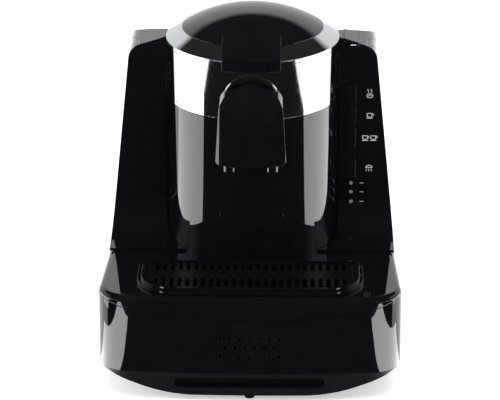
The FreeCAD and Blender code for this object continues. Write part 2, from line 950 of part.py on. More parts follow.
def wing_body(inset):
    """Both wings as one block: leaned sides, swept face and sloping top."""
    step = side_x(wing_toe) - wing_half_width
    low = plan_wire(wing_plan_points(step, 0.0, inset), deck_height)
    high = plan_wire(wing_plan_points(step, wing_lean, inset), wing_top + 8)
    block = Part.makeLoft([low, high], True, True)
    side = inset_points(wing_side_points(), inset)
    block = block.common(side_prism(side, -200, 200))
    shoulder_x = wing_half_width - wing_lean
    front = [
        (-wing_half_width - 2, deck_height - 20, 0),
        (wing_half_width + 2, deck_height - 20, 0),
        (shoulder_x - 0.4, wing_top - shoulder_drop, shoulder_radius),
        (0.0, wing_top - shoulder_drop + wing_crown, 0),
        (-shoulder_x + 0.4, wing_top - shoulder_drop, shoulder_radius),
    ]
    block = block.common(front_prism(inset_points(front, inset), back(80), back(300)))
    bore = rod(chrome_radius + seam + inset, 0, beyond, 0, axis_y)
    half = bay_half + inset
    bay = box(-half, half, bay_front - inset, back(320), 0, 400)
    duct = box(-duct_half - inset, duct_half + inset, axis_y, back(320), 0, 400)
    return block.cut(bore).cut(bay).cut(duct)


def right_of(shape):
    return shape.common(box(10, 200, back(0), back(320), 0, 400))


def face_band(front, behind, x0, x1):
    """The slab that follows the wings' face, from front of it to behind it."""
    ahead = side_prism(inset_points(wing_side_points(), -front), x0, x1)
    return ahead.cut(side_prism(inset_points(wing_side_points(), behind), x0 - 1, x1 + 1))


def below_top(drop):
    """Everything lower than the wings' top by this drop."""
    points = [
        (back(0), 0.0, 0),
        (back(base_back + 60), 0.0, 0),
        (back(base_back + 60), wing_back_top - 14 - drop, 0),
        (back(wing_peak), wing_top - drop, 60.0),
        (back(0), wing_top - drop, 0),
    ]
    return side_prism(points, -200, 200)


def cap_floor(extra):
    """Everything below the parting line of the wing caps."""
    return below_top(cap_height + extra)


whole_wing = right_of(wing_body(0.0))
wing_hollow = right_of(wing_body(wall))
panel_slab = face_band(5.0, panel_thickness, 50, 130)


def make_wing_shell():
    shell = whole_wing.cut(wing_hollow)
    shell = shell.cut(face_band(5.0, panel_thickness + 0.05, 50, 130))
    return shell.common(cap_floor(seam))


def make_wing_cap():
    lid = whole_wing.cut(cap_floor(0.0))
    return lid


def make_front_panel():
    slab = whole_wing.common(panel_slab)
    return slab.common(cap_floor(seam + 0.1))


def key_outline(span, grow):
    half = key_width / 2 + grow
    return rectangle(key_x - half, key_x + half, span[0] - grow, span[1] + grow, half - 0.2)


def make_control_panel():
    panel = make_front_panel()
    for span in key_spans:
        panel = panel.cut(front_prism(key_outline(span, key_gap), back(130), back(170)))
    for z in lamp_heights:
        panel = panel.cut(rod_y(lamp_radius + seam / 2, back(130), back(170), key_x, z))
    for z in (226.0, 134.0):
        post = rod_y(2.5, back(wing_face - 2), back(board_from_front) - seam, board_post_x, z)
        panel = panel.fuse(post.cut(ahead_of_panel_middle()))
    return panel.removeSplitter()


def ahead_of_panel_middle():
    """Everything ahead of the middle of the panel's thickness."""
    behind = side_prism(inset_points(wing_side_points(), panel_thickness / 2), 0, 200)
    return box(0, 200, back(80), back(300), 0, 300).cut(behind)


def make_key(span):
    outline = front_prism(key_outline(span, 0.0), back(130), back(170))
    body = outline.common(face_band(key_stand, panel_thickness + seam + key_flange, 60, 130))
    low_x = key_x - key_width / 2 - 1.2
    high_x = key_x + key_width / 2 + 1.2
    flange = box(low_x, high_x, back(130), back(170), span[0] - 0.2, span[1] + 0.2)
    slab = face_band(-(panel_thickness + seam), panel_thickness + seam + key_flange, 60, 130)
    return body.fuse(flange.common(slab)).removeSplitter()


def make_light_guides():
    guides = []
    front = side_prism(inset_points(wing_side_points(), -0.2), 60, 130)
    for z in lamp_heights:
        guide = rod_y(lamp_radius, back(110), back(board_from_front) - seam, key_x, z)
        guides.append(guide.common(front))
    return joined(guides)


def make_control_board():
    y = back(board_from_front)
    return box(79.0, 99.0, y, y + board_thickness, 114.0, 232.0)


def make_key_switches():
    switches = []
    y = back(board_from_front)
    for low, high in key_spans:
        z = (low + high) / 2
        switches.append(box(key_x - 3, key_x + 3, y - 1.4, y, z - 3, z + 3))
    return joined(switches)


def power_key_block(grow):
    half = power_key_width / 2 + grow
    x0 = power_key_x - half
    x1 = power_key_x + half
    return box(x0, x1, back(140), back(power_key_back) + grow, 200, 300)


def make_power_key():
    raised = whole_wing.copy()
    raised.translate(V(0, 0, power_key_stand))
    key = raised.common(power_key_block(0.0))
    return key.cut(below_top(power_key_low))


# Water tank and its bay

def tank_points():
    half = tank_width / 2
    return rectangle(-half, half, back(tank_front), back(tank_back), tank_corner)


def make_tank_bay():
    y0 = bay_front + seam
    back_wall = box(-bay_half + seam, bay_half - seam, y0, y0 + bay_wall, deck_height, bay_wall_height)
    floor = box(-bay_half + seam, bay_half - seam, y0, back(base_back - 2), deck_height, deck_height + bay_floor)
    bay = back_wall.fuse(floor)
    bay = bay.cut(rod(tank_valve_radius + 3.0, deck_height - 1, deck_height + 10, tank_valve_x, tank_valve_y))
    return bay.removeSplitter()


def make_tank_dock():
    cup = rod(tank_valve_radius + 2.6, deck_height, deck_height + bay_floor - 0.6, tank_valve_x, tank_valve_y)
    cup = cup.cut(rod(tank_valve_radius + 0.6, deck_height + 1.2, deck_height + 9, tank_valve_x, tank_valve_y))
    pin = rod(1.6, deck_height + 1, deck_height + 2.4, tank_valve_x, tank_valve_y)
    return cup.fuse(pin).removeSplitter()


def make_water_tank():
    outer = plan_prism(tank_points(), tank_low, tank_rim_height)
    inner = plan_prism(inset_points(tank_points(), tank_wall), tank_low + tank_wall, tank_rim_height + 1)
    body = outer.cut(inner)
    neck_low = deck_height + 2.0
    neck = rod(tank_valve_radius, neck_low, tank_low + 0.1, tank_valve_x, tank_valve_y)
    body = body.fuse(neck)
    body = body.cut(rod(3.4, neck_low - 1, tank_low + tank_wall + 1, tank_valve_x, tank_valve_y))
    rib_y = back(tank_front + tank_wall)
    for x in (float_x - float_width / 2 - 1.5 - seam, float_x + float_width / 2 + seam):
        rib = box(x, x + 1.5, rib_y - 0.5, rib_y + float_depth + 1, tank_low + 1, tank_low + float_reach)
        body = body.fuse(rib)
    return body.removeSplitter()


def make_level_float():
    y = back(tank_front + tank_wall) + seam
    low = tank_low + tank_wall + seam
    half = float_width / 2
    outline = rectangle(float_x - half, float_x + half, y, y + float_depth, 2.0)
    return plan_prism(outline, low, low + float_height)


def make_tank_valve():
    low = deck_height + 2.4 + seam
    stem = rod(tank_valve_stem, low, tank_low + tank_wall + tank_valve_lift + 1, tank_valve_x, tank_valve_y)
    head_low = tank_low + tank_wall + tank_valve_lift + seam
    head = rod(tank_valve_radius, head_low, head_low + 2.5, tank_valve_x, tank_valve_y)
    return stem.fuse(head).removeSplitter()


def tank_lid_block(inset):
    low = tank_rim_height + seam
    points = [
        (back(tank_front), low, 0),
        (back(tank_back), low, 0),
        (back(tank_back), tank_lid_back_height, 8.0),
        (back(tank_front), tank_lid_front_height, 5.0),
    ]
    block = side_prism(inset_points(points, inset), -100, 100)
    return block.common(plan_prism(inset_points(tank_points(), inset), 0, 300))


def make_tank_lid():
    lid = tank_lid_block(0.0)
    hollow = tank_lid_block(tank_wall)
    drop = plan_prism(inset_points(tank_points(), tank_wall), tank_rim_height - 5, tank_rim_height + 3)
    lid = lid.cut(hollow).cut(drop)
    outer = plan_prism(inset_points(tank_points(), tank_wall + seam), tank_rim_height - 5, tank_rim_height + 4)
    inner = plan_prism(inset_points(tank_points(), tank_wall * 2 + seam), tank_rim_height - 6, tank_rim_height + 5)
    plug = outer.cut(inner)
    shelf = plan_prism(tank_points(), tank_rim_height + seam, tank_rim_height + 2.5)
    shelf = shelf.cut(plan_prism(inset_points(tank_points(), tank_wall * 2 + seam), 0, 300))
    return lid.fuse(shelf).fuse(plug).removeSplitter()


# Pump, boards and buzzer

def make_water_pump():
    y = back(pump_front)
    z = deck_height + pump_radius + 3
    body = rod_y(pump_radius, y, y + pump_length, pump_x, z)
    body = body.fuse(rod_y(5.0, y - 10, y + pump_length + 8, pump_x, z))
    for along in (8.0, pump_length - 16):
        body = body.fuse(box(pump_x - 10, pump_x + 10, y + along, y + along + 8, deck_height + seam, z))
    return body.removeSplitter()


def make_main_board():
    board = box(94.0, 94.0 + board_thickness, back(178), back(248), deck_height + seam, 190.0)
    part = box(94.0 - 9, 94.2, back(190), back(212), 120.0, 150.0)
    return board.fuse(part).removeSplitter()


def make_buzzer():
    y = back(wall + seam)
    return rod_y(11.0, y, y + 7, 0, 44.0).fuse(rod_y(3.0, y + 6, y + 9, 0, 44.0)).removeSplitter()


nodes["lid_hinge_bracket"] = make_hinge_bracket()
nodes["lid_hinge_pin"] = rod_x(hinge_pin_radius, -ear_out + seam, ear_out - seam, hinge_y, hinge_z)
nodes["lid_seal"] = make_lid_seal()
nodes["foam_sensor"] = make_foam_sensor()
nodes["pot_carrier"] = make_pot_carrier()
nodes["pot_gasket"] = make_pot_gasket()
nodes["brewing_pot"] = make_brewing_pot()
nodes["heater_plate"] = make_heater_plate()
nodes["heating_element"] = make_heating_element()
nodes["thermostat"] = make_thermostat()
nodes["inner_frame"] = make_inner_frame()
nodes["valve_body"] = make_valve_body()
nodes["valve_plunger"] = make_valve_plunger()
nodes["valve_cam"] = make_valve_cam()
nodes["gear_motor"] = make_gear_motor()
nodes["spout_hood"] = make_spout_hood()
nodes["spout_nozzles"] = make_spout_nozzles()
nodes["outlet_seal"] = make_outlet_seal()
nodes["spout_collar"] = make_spout_collar()
nodes["right_wing_shell"] = make_wing_shell()
nodes["left_wing_shell"] = mirrored(make_wing_shell())
nodes["right_wing_cap"] = make_wing_cap().cut(power_key_block(key_gap))
nodes["left_wing_cap"] = mirrored(make_wing_cap())
nodes["left_front_panel"] = mirrored(make_front_panel())
nodes["control_panel"] = make_control_panel()
for name, span in zip(key_names, key_spans):
    nodes[name] = make_key(span)
nodes["power_key"] = make_power_key()
nodes["light_guides"] = make_light_guides()
nodes["control_board"] = make_control_board()
nodes["key_switches"] = make_key_switches()
nodes["tank_bay"] = make_tank_bay()
nodes["tank_dock"] = make_tank_dock()
nodes["water_tank"] = make_water_tank()
nodes["level_float"] = make_level_float()
nodes["tank_valve"] = make_tank_valve()
nodes["tank_lid"] = make_tank_lid()
nodes["water_pump"] = make_water_pump()
nodes["main_board"] = make_main_board()
nodes["buzzer"] = make_buzzer()


def write_nodes():
    os.makedirs("parts", exist_ok=True)
    for name, shape in nodes.items():
        shape.exportStep("parts/" + name + ".step")
        volume = sum(solid.Volume for solid in shape.Solids)
        print(name, "solids", len(shape.Solids), "valid", shape.isValid(), "cm3", round(volume / 1000, 1))


write_nodes()
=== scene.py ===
# %% [markdown]
# Coffee maker, lesson 1: the frame.
# The machine's pieces come from a imported CAD model, at their real size and place.
# This script gives them their finishes, adds the fine detail, and lights them.
# We load the model first, and keep its box.

# %% Load the frame
import math

import bmesh
import bpy
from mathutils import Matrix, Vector
from mathutils.bvhtree import BVHTree


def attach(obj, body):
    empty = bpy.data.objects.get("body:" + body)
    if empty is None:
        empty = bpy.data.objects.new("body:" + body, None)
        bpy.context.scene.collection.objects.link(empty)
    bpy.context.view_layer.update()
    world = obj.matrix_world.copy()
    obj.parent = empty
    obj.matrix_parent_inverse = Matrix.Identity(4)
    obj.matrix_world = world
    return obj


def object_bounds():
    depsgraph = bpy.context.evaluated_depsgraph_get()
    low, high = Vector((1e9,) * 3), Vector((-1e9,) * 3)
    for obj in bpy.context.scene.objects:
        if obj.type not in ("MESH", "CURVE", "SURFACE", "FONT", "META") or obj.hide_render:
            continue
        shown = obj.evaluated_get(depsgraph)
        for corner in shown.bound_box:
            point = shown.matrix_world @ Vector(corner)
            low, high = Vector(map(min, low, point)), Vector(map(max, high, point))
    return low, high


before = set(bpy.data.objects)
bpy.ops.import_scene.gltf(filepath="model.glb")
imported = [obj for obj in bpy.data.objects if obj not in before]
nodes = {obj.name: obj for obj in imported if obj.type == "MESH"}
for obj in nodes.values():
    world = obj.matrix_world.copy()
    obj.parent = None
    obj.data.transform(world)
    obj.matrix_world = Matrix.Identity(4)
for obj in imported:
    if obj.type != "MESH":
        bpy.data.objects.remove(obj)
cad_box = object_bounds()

MM = 0.001
print("nodes", len(nodes), "box", [[round(v, 4) for v in corner] for corner in cad_box])

# %% [markdown]
# Colours are written the way a designer reads them, as sRGB hex values.
# Blender's shaders want linear light, so one function turns one into the other.

# %% Colours
def linear(hex_colour):
    """A hex colour as linear red, green, blue and alpha."""
    parts = [int(hex_colour[i:i + 2], 16) / 255 for i in (1, 3, 5)]
    values = [p / 12.92 if p <= 0.04045 else ((p + 0.055) / 1.055) ** 2.4 for p in parts]
    return (*values, 1.0)


print("piano black", [round(v, 4) for v in linear("#0b0b0d")])

# %% [markdown]
# A material is a small network of nodes. One helper makes a node, sets its
# inputs, and joins links, so every finish below reads like a recipe.

# %% Node helper
def add_node(owner, kind, settings=None, inputs=None, links=None):
    """Add one shader node, with its properties, its input values and its links."""
    node = owner.node_tree.nodes.new(kind)
    for name, value in (settings or {}).items():
        setattr(node, name, value)
    for name, value in (inputs or {}).items():
        node.inputs[name].default_value = value
    for name, source in (links or {}).items():
        owner.node_tree.links.new(source, node.inputs[name])
    return node


def new_material(name):
    material = bpy.data.materials.new(name)
    material.use_nodes = True
    material.node_tree.nodes.clear()
    return material


print("helpers", add_node.__name__, new_material.__name__)

# %% [markdown]
# Real surfaces are described in millimetres, but a node wants a scale or a distance
# in metres. These three small tables of inputs do the sums: the size of a noise's
# features, the range that a roughness moves in, and the depth of a relief.
# A noise stays mostly between 0.3 and 0.7, so that is the part we spread out.

# %% Inputs from real sizes
noise_usual_low = 0.3
noise_usual_high = 0.7


def grain(size_mm, detail=2.0):
    """Inputs of a noise with features of about this size."""
    return {"Scale": 1 / (size_mm * MM), "Detail": detail}


def spread(low, high):
    """Inputs of a Map Range that spreads a noise over this range."""
    return {"From Min": noise_usual_low, "From Max": noise_usual_high, "To Min": low, "To Max": high}


def relief(depth_mm):
    """Inputs of a Bump of this depth."""
    return {"Strength": 1.0, "Distance": depth_mm * MM}


print("a 2 mm grain", grain(2.0))

# %% [markdown]
# The housing is ABS, moulded in a mirror-polished tool: deep black, a hard gloss,
# and edges with a small radius. A Bevel node rounds the edges for the light only.
# Faint waves of the moulding and a little handling haze keep it from looking like glass.

# %% Polished black ABS
haze_black = "#101013"


def polished_black_abs(name, colour="#08080a", haze=0.05, edge_mm=0.5):
    material = new_material(name)
    spot = {"Vector": add_node(material, "ShaderNodeTexCoord").outputs["Object"]}
    flow = add_node(material, "ShaderNodeTexNoise", inputs=grain(38.0, 1.0), links=spot)
    smear = add_node(material, "ShaderNodeTexNoise", inputs=grain(14.0, 4.0), links=spot)
    edge = add_node(material, "ShaderNodeBevel", {"samples": 4}, {"Radius": edge_mm * MM})
    wave = add_node(material, "ShaderNodeBump", inputs=relief(0.010),
                    links={"Height": flow.outputs[0], "Normal": edge.outputs[0]})
    tint = add_node(material, "ShaderNodeMix", {"data_type": "RGBA"},
                    {6: linear(colour), 7: linear(haze_black)}, {0: smear.outputs[0]})
    rough = add_node(material, "ShaderNodeMapRange", inputs=spread(0.02, haze),
                     links={"Value": smear.outputs[0]})
    links = {"Base Color": tint.outputs[2], "Roughness": rough.outputs[0], "Normal": wave.outputs[0]}
    inputs = {"IOR": 1.54, "Metallic": 0.0}
    shader = add_node(material, "ShaderNodeBsdfPrincipled", inputs=inputs, links=links)
    add_node(material, "ShaderNodeOutputMaterial", links={"Surface": shader.outputs[0]})
    return material


abs_gloss = polished_black_abs("polished black abs")
abs_key = polished_black_abs("key black abs", "#0d0d10", 0.12, 0.4)
print("gloss finishes", abs_gloss.name, abs_key.name)

# %% [markdown]
# The pan, the grid and the inner covers are ABS too, but from a spark-eroded tool.
# The fine grain scatters the light, which the eye reads as satin.
# The real grain is about 0.1 mm, too fine to show, so it is drawn at 0.5 mm.

# %% Satin black moulding
def satin_black_moulding(name, colour="#17171a", low=0.32, high=0.42):
    material = new_material(name)
    spot = {"Vector": add_node(material, "ShaderNodeTexCoord").outputs["Object"]}
    eroded = add_node(material, "ShaderNodeTexNoise", inputs=grain(0.5), links=spot)
    cloud = add_node(material, "ShaderNodeTexNoise", inputs=grain(20.0, 3.0), links=spot)
    edge = add_node(material, "ShaderNodeBevel", {"samples": 4}, {"Radius": 0.5 * MM})
    surface = add_node(material, "ShaderNodeBump", inputs=relief(0.02),
                       links={"Height": eroded.outputs[0], "Normal": edge.outputs[0]})
    rough = add_node(material, "ShaderNodeMapRange", inputs=spread(low, high),
                     links={"Value": cloud.outputs[0]})
    inputs = {"Base Color": linear(colour), "IOR": 1.5}
    links = {"Roughness": rough.outputs[0], "Normal": surface.outputs[0]}
    shader = add_node(material, "ShaderNodeBsdfPrincipled", inputs=inputs, links=links)
    add_node(material, "ShaderNodeOutputMaterial", links={"Surface": shader.outputs[0]})
    return material


satin_black = satin_black_moulding("satin black abs")
satin_grid = satin_black_moulding("satin grid abs", "#0c0c0e", 0.24, 0.34)
satin_board = satin_black_moulding("board parts", "#1d1d20")
print("satin finishes", satin_black.name, satin_grid.name)

# %% [markdown]
# The band and the bevel ring are plastic with electroplated chrome. Chrome is a
# cool, slightly dark mirror. Fine buffing marks break its reflection up a little.
# The engraved lines are the same metal, duller and darker where the plate is cut.

# %% Chrome plate
def chrome_plate(name, colour="#c9cacd", low=0.03, high=0.07):
    material = new_material(name)
    spot = {"Vector": add_node(material, "ShaderNodeTexCoord").outputs["Object"]}
    buffing = add_node(material, "ShaderNodeTexNoise", inputs=grain(3.0, 3.0), links=spot)
    edge = add_node(material, "ShaderNodeBevel", {"samples": 4}, {"Radius": 0.4 * MM})
    surface = add_node(material, "ShaderNodeBump", inputs=relief(0.002),
                       links={"Height": buffing.outputs[0], "Normal": edge.outputs[0]})
    rough = add_node(material, "ShaderNodeMapRange", inputs=spread(low, high),
                     links={"Value": buffing.outputs[0]})
    inputs = {"Base Color": linear(colour), "Metallic": 1.0}
    links = {"Roughness": rough.outputs[0], "Normal": surface.outputs[0]}
    shader = add_node(material, "ShaderNodeBsdfPrincipled", inputs=inputs, links=links)
    add_node(material, "ShaderNodeOutputMaterial", links={"Surface": shader.outputs[0]})
    return material


chrome_bright = chrome_plate("chrome plate")
chrome_line = chrome_plate("engraved chrome line", "#6d6e72", 0.18, 0.30)
print("chrome", chrome_bright.name, chrome_line.name)

# %% [markdown]
# Stainless steel for the pot and the small metal parts: turned on a lathe, so the
# brush marks are fine rings, made by squashing a noise along the height.
# Cast aluminium and zinc plate are duller and coarser.

# %% Metals inside
ring_stretch = 30.0


def turned_steel(name, colour="#b9b8b4", low=0.18, high=0.30, ring_mm=0.8):
    material = new_material(name)
    spot = add_node(material, "ShaderNodeTexCoord").outputs["Object"]
    squashed = add_node(material, "ShaderNodeMapping", inputs={"Scale": (1.0, 1.0, ring_stretch)},
                        links={"Vector": spot})
    rings = add_node(material, "ShaderNodeTexNoise", inputs=grain(ring_mm * ring_stretch, 3.0),
                     links={"Vector": squashed.outputs[0]})
    surface = add_node(material, "ShaderNodeBump", inputs=relief(0.01), links={"Height": rings.outputs[0]})
    rough = add_node(material, "ShaderNodeMapRange", inputs=spread(low, high),
                     links={"Value": rings.outputs[0]})
    inputs = {"Base Color": linear(colour), "Metallic": 1.0}
    links = {"Roughness": rough.outputs[0], "Normal": surface.outputs[0]}
    shader = add_node(material, "ShaderNodeBsdfPrincipled", inputs=inputs, links=links)
    add_node(material, "ShaderNodeOutputMaterial", links={"Surface": shader.outputs[0]})
    return material


stainless = turned_steel("turned stainless steel")
cast_metal = turned_steel("cast aluminium", "#a5a6a8", 0.35, 0.5, 2.0)
zinc_plate = turned_steel("zinc plated steel", "#8f9295", 0.3, 0.45, 3.0)
print("metals", stainless.name, cast_metal.name, zinc_plate.name)

# %% [markdown]
# Rubber and silicone are soft and dull, and so are the white moulding and the board.
# A fine mottling of two near colours and a wide roughness do it.

# %% Rubber, silicone, white moulding and board
def soft_solid(name, colour, darker, low, high, ior=1.5, size_mm=3.0):
    material = new_material(name)
    spot = {"Vector": add_node(material, "ShaderNodeTexCoord").outputs["Object"]}
    cloud = add_node(material, "ShaderNodeTexNoise", inputs=grain(size_mm, 4.0), links=spot)
    pores = add_node(material, "ShaderNodeTexNoise", inputs=grain(0.6), links=spot)
    tint = add_node(material, "ShaderNodeMix", {"data_type": "RGBA"},
                    {6: linear(darker), 7: linear(colour)}, {0: cloud.outputs[0]})
    surface = add_node(material, "ShaderNodeBump", inputs=relief(0.02), links={"Height": pores.outputs[0]})
    rough = add_node(material, "ShaderNodeMapRange", inputs=spread(low, high),
                     links={"Value": cloud.outputs[0]})
    links = {"Base Color": tint.outputs[2], "Roughness": rough.outputs[0], "Normal": surface.outputs[0]}
    shader = add_node(material, "ShaderNodeBsdfPrincipled", inputs={"IOR": ior}, links=links)
    add_node(material, "ShaderNodeOutputMaterial", links={"Surface": shader.outputs[0]})
    return material


foot_rubber = soft_solid("black foot rubber", "#1b1b1c", "#121213", 0.6, 0.8, 1.52)
seal_silicone = soft_solid("grey silicone", "#a3a39f", "#8c8c88", 0.4, 0.55, 1.41)
white_moulding = soft_solid("natural white polypropylene", "#cfcdc6", "#bdbbb3", 0.35, 0.5, 1.49)
board_green = soft_solid("glass fibre board", "#1f5a38", "#174a2d", 0.3, 0.45, 1.55, 1.2)
print("soft finishes", foot_rubber.name, seal_silicone.name, white_moulding.name, board_green.name)

# %% [markdown]
# The tank is smoked clear plastic: light passes, but the wall takes some of it.
# The lamps' light guides are clear acrylic with a frosted end.

# %% Smoked tank and acrylic
def clear_plastic(name, colour, low, high, ior=1.49, weight=1.0):
    material = new_material(name)
    spot = {"Vector": add_node(material, "ShaderNodeTexCoord").outputs["Object"]}
    cloud = add_node(material, "ShaderNodeTexNoise", inputs=grain(9.0, 3.0), links=spot)
    flow = add_node(material, "ShaderNodeTexNoise", inputs=grain(30.0, 1.0), links=spot)
    surface = add_node(material, "ShaderNodeBump", inputs=relief(0.02), links={"Height": flow.outputs[0]})
    rough = add_node(material, "ShaderNodeMapRange", inputs=spread(low, high),
                     links={"Value": cloud.outputs[0]})
    inputs = {"Base Color": linear(colour), "IOR": ior, "Transmission Weight": weight}
    links = {"Roughness": rough.outputs[0], "Normal": surface.outputs[0]}
    shader = add_node(material, "ShaderNodeBsdfPrincipled", inputs=inputs, links=links)
    add_node(material, "ShaderNodeOutputMaterial", links={"Surface": shader.outputs[0]})
    return material


smoked_tank = clear_plastic("smoked san plastic", "#4c4d52", 0.02, 0.07, 1.57)
acrylic_guide = clear_plastic("acrylic light guide", "#b9bcc0", 0.25, 0.4, 1.49, 0.6)
print("clear finishes", smoked_tank.name, acrylic_guide.name)

# %% [markdown]
# Each CAD piece now gets its finish. The finish could be set piece by piece, but one
# table of node to material keeps it in one place, and a change is a change of one word.

# %% Give every CAD piece its finish
finish_of = {
    "base_pan": satin_black, "rubber_feet": foot_rubber, "base_shell": abs_gloss,
    "cable_gland": satin_black, "deck_cover": abs_gloss, "drip_tray": abs_gloss,
    "drip_grid": satin_grid, "column_shell": abs_gloss, "chrome_band": chrome_bright,
    "bevel_ring": chrome_bright, "lid": abs_gloss, "lid_hinge_bracket": abs_gloss,
    "lid_hinge_pin": stainless, "lid_seal": seal_silicone, "foam_sensor": satin_black,
    "pot_carrier": satin_black, "pot_gasket": seal_silicone, "brewing_pot": stainless,
    "heater_plate": cast_metal, "heating_element": stainless, "thermostat": cast_metal,
    "inner_frame": white_moulding, "valve_body": white_moulding, "valve_plunger": stainless,
    "valve_cam": white_moulding, "gear_motor": zinc_plate, "spout_hood": abs_gloss,
    "spout_nozzles": abs_gloss, "outlet_seal": seal_silicone, "spout_collar": chrome_bright,
    "right_wing_shell": abs_gloss, "left_wing_shell": abs_gloss, "right_wing_cap": abs_gloss,
    "left_wing_cap": abs_gloss, "left_front_panel": abs_gloss, "control_panel": abs_gloss,
    "heat_key": abs_key, "one_cup_key": abs_key, "two_cup_key": abs_key, "clean_key": abs_key,
    "power_key": abs_key, "light_guides": acrylic_guide, "control_board": board_green,
    "key_switches": satin_board, "tank_bay": satin_black, "tank_dock": white_moulding,
    "water_tank": smoked_tank, "level_float": white_moulding, "tank_valve": white_moulding,
    "tank_lid": abs_gloss, "water_pump": zinc_plate, "main_board": board_green,
    "buzzer": satin_board,
}

for name, node in nodes.items():
    node.data.materials.clear()
    node.data.materials.append(finish_of[name])
print("dressed", len(nodes), "nodes in", len({finish.name for finish in finish_of.values()}), "finishes")

# %% [markdown]
# Small parts sit on curved faces. Their places could be copied from the CAD's sizes,
# but asking the face itself is safer: a ray is sent at the CAD piece, and the place
# where it lands is the surface. A BVH tree makes that quick, and is built once a piece.

# %% Find a surface
trees = {}


def surface_hit(name, start, direction):
    """The point where a ray first meets a CAD piece."""
    if name not in trees:
        mesh = nodes[name].data
        corners = [nodes[name].matrix_world @ v.co for v in mesh.vertices]
        trees[name] = BVHTree.FromPolygons(corners, [p.vertices for p in mesh.polygons])
    return trees[name].ray_cast(Vector(start), Vector(direction).normalized())[0]


print("panel face at", [round(v, 4) for v in surface_hit("control_panel", (0.099, -0.3, 0.2), (0, 1, 0))])

# %% [markdown]
# A finished bmesh becomes an object with one material. It then rides on the CAD body
# that it is fixed to, so that it moves with it.
# Blender turns the faces of a closed solid outwards first. On an open ribbon it can
# only guess which side is the outer one.

# %% Keep a piece
def keep(bm, name, material, body):
    """Turn a finished bmesh into a piece that rides on a CAD body."""
    bmesh.ops.recalc_face_normals(bm, faces=bm.faces)
    mesh = bpy.data.meshes.new(name)
    bm.to_mesh(mesh)
    bm.free()
    piece = bpy.data.objects.new(name, mesh)
    bpy.context.scene.collection.objects.link(piece)
    mesh.materials.append(material)
    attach(piece, body)
    return piece


# %% [markdown]
# Lines are drawn as thin ribbons. A path is a list of flat points, in millimetres.
# Each point gets a partner on its left and its right, half a line width away,
# and a second function lays the pair on the real surface.

# %% Ribbons
ribbon_step = 0.5


def sampled(path, closed=False):
    """The path with points close enough together to follow a curved face."""
    ends = path[1:] + path[:1] if closed else path[1:]
    points = []
    for (xa, ya), (xb, yb) in zip(path, ends):
        count = max(1, math.ceil(math.hypot(xb - xa, yb - ya) / ribbon_step))
        points += [(xa + (xb - xa) * i / count, ya + (yb - ya) * i / count) for i in range(count)]
    return points if closed else points + [path[-1]]


def add_ribbon(bm, path, width, lay, closed=False):
    """Add a flat line of this width, laid on a surface by the function lay."""
    points = sampled(path, closed)
    count = len(points)
    rails = []
    for i, (x, y) in enumerate(points):
        xa, ya = points[i - 1] if closed or i else points[0]
        xb, yb = points[(i + 1) % count] if closed or i < count - 1 else points[-1]
        length = math.hypot(xb - xa, yb - ya)
        side_x, side_y = -(yb - ya) / length * width / 2, (xb - xa) / length * width / 2
        rails.append((bm.verts.new(lay(x + side_x, y + side_y)), bm.verts.new(lay(x - side_x, y - side_y))))
    for i in range(count if closed else count - 1):
        left, right = rails[i]
        next_left, next_right = rails[(i + 1) % count]
        bm.faces.new((left, right, next_right, next_left))


def arc_path(x, y, radius_x, radius_y, start, end, steps=24):
    """Points round an ellipse, between two angles in degrees."""
    turns = [math.radians(start + (end - start) * i / steps) for i in range(steps + 1)]
    return [(x + radius_x * math.cos(a), y + radius_y * math.sin(a)) for a in turns]


print("an arc of", len(arc_path(0, 0, 5, 5, 0, 180)), "points")

# %% [markdown]
# The band carries a line pattern of its own design. Its first motif is a leafy sprig:
# a stem with a slow wave, three pairs of pointed leaves and one leaf at the top.
# Flat drawings are easier to judge than bent ones, so we draw flat and wrap later.

# %% Sprig
line_width = 0.55
leaf_fullness = 0.24
leaf_steps = 8
stem_low = -16.0
stem_rise = 28.0
stem_wave = 1.6
stem_steps = 20
leaf_levels = ((-11.0, 8.5), (-3.5, 7.5), (4.0, 6.5))
leaf_lean = 38


def wave_path(x, low, rise, swing, steps):
    """An upright line that swings once to each side."""
    turn = 2 * math.pi / steps
    return [(x + swing * math.sin(i * turn), low + rise * i / steps) for i in range(steps + 1)]


def leaf_path(x, y, length, lean):
    """A pointed leaf that starts at x, y and leans by this many degrees."""
    turn = math.radians(lean)
    outline = []
    for side in (1, -1):
        for i in range(leaf_steps + 1):
            along = i / leaf_steps if side == 1 else 1 - i / leaf_steps
            across = side * leaf_fullness * length * math.sin(math.pi * along)
            u = along * length
            outline.append((x + u * math.cos(turn) - across * math.sin(turn),
                            y + u * math.sin(turn) + across * math.cos(turn)))
    return outline[:-1]


def draw_sprig(bm, lay):
    add_ribbon(bm, wave_path(0.0, stem_low, stem_rise, stem_wave, stem_steps), line_width, lay)
    for level, length in leaf_levels:
        add_ribbon(bm, leaf_path(1.0, level, length, leaf_lean), line_width, lay)
        add_ribbon(bm, leaf_path(-1.0, level, length, 180 - leaf_lean), line_width, lay)
    add_ribbon(bm, leaf_path(0.0, stem_low + stem_rise - 0.5, 6.0, 90), line_width, lay)


print("leaf points", len(leaf_path(0, 0, 8, 0)))

# %% [markdown]
# The second motif is a pair of beans with a small ring between them.
# A bean is an oval with one curved crease.

# %% Beans
bean_level = 9.0
bean_half_width = 3.6
bean_half_height = 5.4
crease_half = 4.6
crease_swing = 1.1


def draw_bean_pair(bm, lay):
    for level in (-bean_level, bean_level):
        outline = arc_path(0, level, bean_half_width, bean_half_height, 0, 345, 32)
        add_ribbon(bm, outline, line_width, lay, closed=True)
        crease = wave_path(0.0, level - crease_half, 2 * crease_half, crease_swing, 12)
        add_ribbon(bm, crease, line_width * 0.8, lay)
    add_ribbon(bm, arc_path(0, 0, 1.3, 1.3, 0, 330, 12), line_width, lay, closed=True)


print("crease height", 2 * crease_half)

